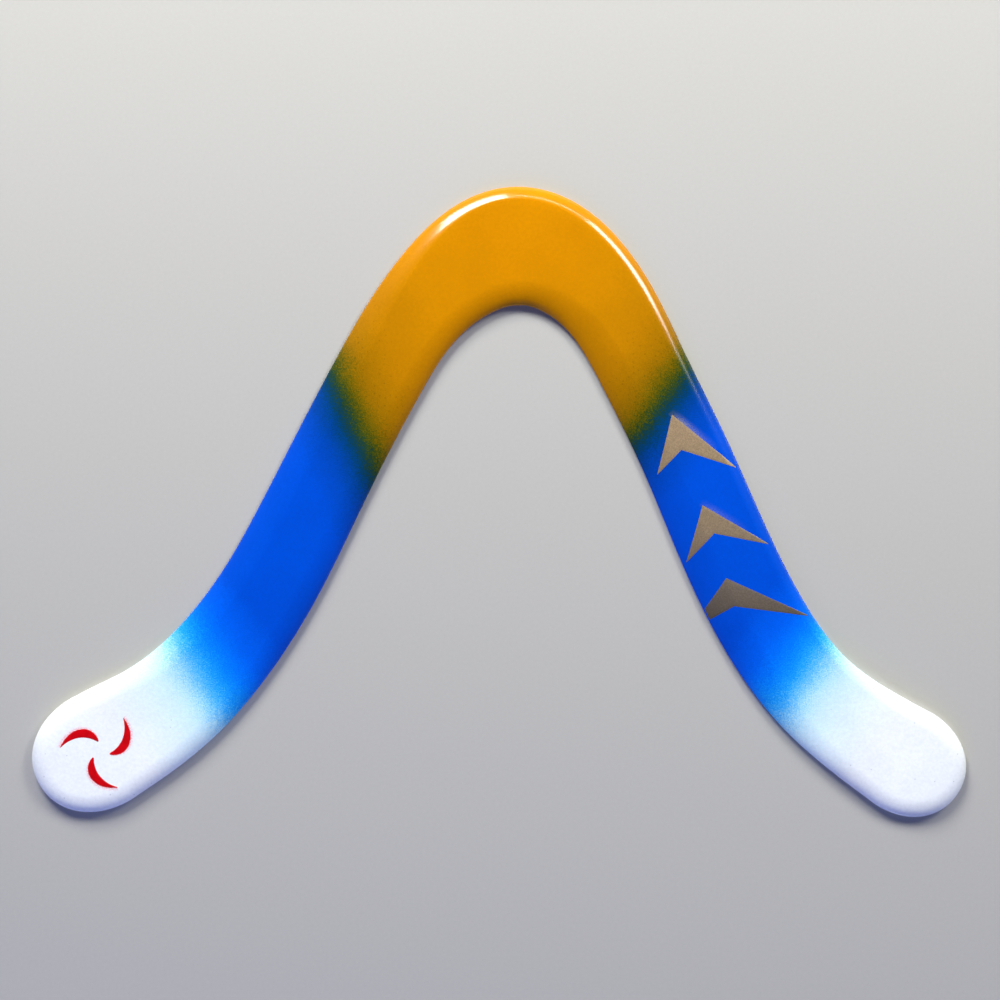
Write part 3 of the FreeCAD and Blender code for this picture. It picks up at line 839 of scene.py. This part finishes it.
class BOOMERANG_OT_stage(bpy.types.Operator):
    """Makes the floor, the window lights, the dim ceiling and the camera"""
    bl_idname = "boomerang.stage"
    bl_label = "Stage"

    def execute(self, context):
        scene = context.scene
        settings = scene.boomerang_stage
        ways = ((-1, -1), (1, -1), (1, 1), (-1, 1))
        corners = [(x * FLOOR_HALF, y * FLOOR_HALF, -FLOOR_DROP) for x, y in ways]
        mesh = bpy.data.meshes.new("studio_floor")
        mesh.from_pydata(corners, [], [(0, 1, 2, 3)])
        mesh.materials.append(studio_paper(settings))
        floor = bpy.data.objects.new("studio_floor", mesh)
        scene.collection.objects.link(floor)
        key = settings.key
        area_light("window_left", -19.0, 61.0, WINDOW_DISTANCE, (0.62, 0.50), key, WINDOW_LIGHT)
        area_light("window_right", 44.0, 61.0, WINDOW_DISTANCE, (0.52, 0.34), key * 0.45, WINDOW_LIGHT)
        area_light("window_far", 57.5, 62.0, WINDOW_DISTANCE, (0.14, 0.20), key * 0.03, WINDOW_LIGHT)
        area_light("window_gap", 14.0, 61.0, WINDOW_DISTANCE, (0.60, 0.05), key * 0.06, WINDOW_LIGHT)
        fill = area_light("soft_fill", 195.0, 62.0, FILL_DISTANCE, (1.2, 0.8), key * 0.40, SKY_FILL)
        fill.visible_glossy = False
        world = bpy.data.worlds.new("dim_ceiling")
        world.use_nodes = True
        tree = world.node_tree
        tree.nodes.clear()
        up = add(tree, "SeparateXYZ", add(tree, "TexCoord", out="Generated"), out="Z")
        # The ceiling is dark straight overhead, so that the flat gloss doesn't wash out its own colours.
        sky = ramp(tree, up, (
            (-0.1, "#8E8E90"), (0.02, "#8A8A8E"), (0.12, "#5C5F70"), (0.5, "#484C60"), (0.85, "#222328"),
            (1.0, "#18181B")))
        add(tree, "OutputWorld", add(tree, "Background", sky, 1.0))
        scene.world = world
        scene.view_settings.view_transform = "Standard"
        lens = bpy.data.cameras.new("camera")
        lens.lens = 50.0
        lens.sensor_width = 36.0
        lens.clip_start = 0.01
        camera = bpy.data.objects.new("camera", lens)
        camera.location = (*CAMERA_SHIFT, settings.view_height)
        scene.collection.objects.link(camera)
        scene.camera = camera
        return {"FINISHED"}


class BOOMERANG_PT_panel(bpy.types.Panel):
    """Lists the steps and their settings"""
    bl_idname = "BOOMERANG_PT_panel"
    bl_label = "Boomerang"
    bl_space_type = "VIEW_3D"
    bl_region_type = "UI"
    bl_category = "Boomerang"

    def draw(self, context):
        for step in STEPS:
            self.layout.operator(step.bl_idname)
        for group in SETTINGS:
            settings = getattr(context.scene, group)
            for name in settings.__class__.__annotations__:
                self.layout.prop(settings, name)


STEPS = (
    BOOMERANG_OT_lacquered_skin,
    BOOMERANG_OT_sprayed_coats,
    BOOMERANG_OT_veneers,
    BOOMERANG_OT_chevrons,
    BOOMERANG_OT_whirl,
    BOOMERANG_OT_stage,
)
SETTINGS = {
    "boomerang_paint": PaintSettings,
    "boomerang_stencils": StencilSettings,
    "boomerang_stage": StageSettings,
}


def register():
    for group in SETTINGS.values():
        bpy.utils.register_class(group)
    for name, group in SETTINGS.items():
        setattr(bpy.types.Scene, name, bpy.props.PointerProperty(type=group))
    for step in STEPS + (BOOMERANG_PT_panel,):
        bpy.utils.register_class(step)


def unregister():
    for step in STEPS + (BOOMERANG_PT_panel,):
        bpy.utils.unregister_class(step)
    for name, group in SETTINGS.items():
        delattr(bpy.types.Scene, name)
        bpy.utils.unregister_class(group)


def main():
    register()
    bpy.ops.boomerang.lacquered_skin()
    bpy.ops.boomerang.sprayed_coats()
    bpy.ops.boomerang.veneers()
    bpy.ops.boomerang.chevrons()
    bpy.ops.boomerang.whirl()
    bpy.ops.boomerang.stage()


if __name__ == "__main__":
    main()
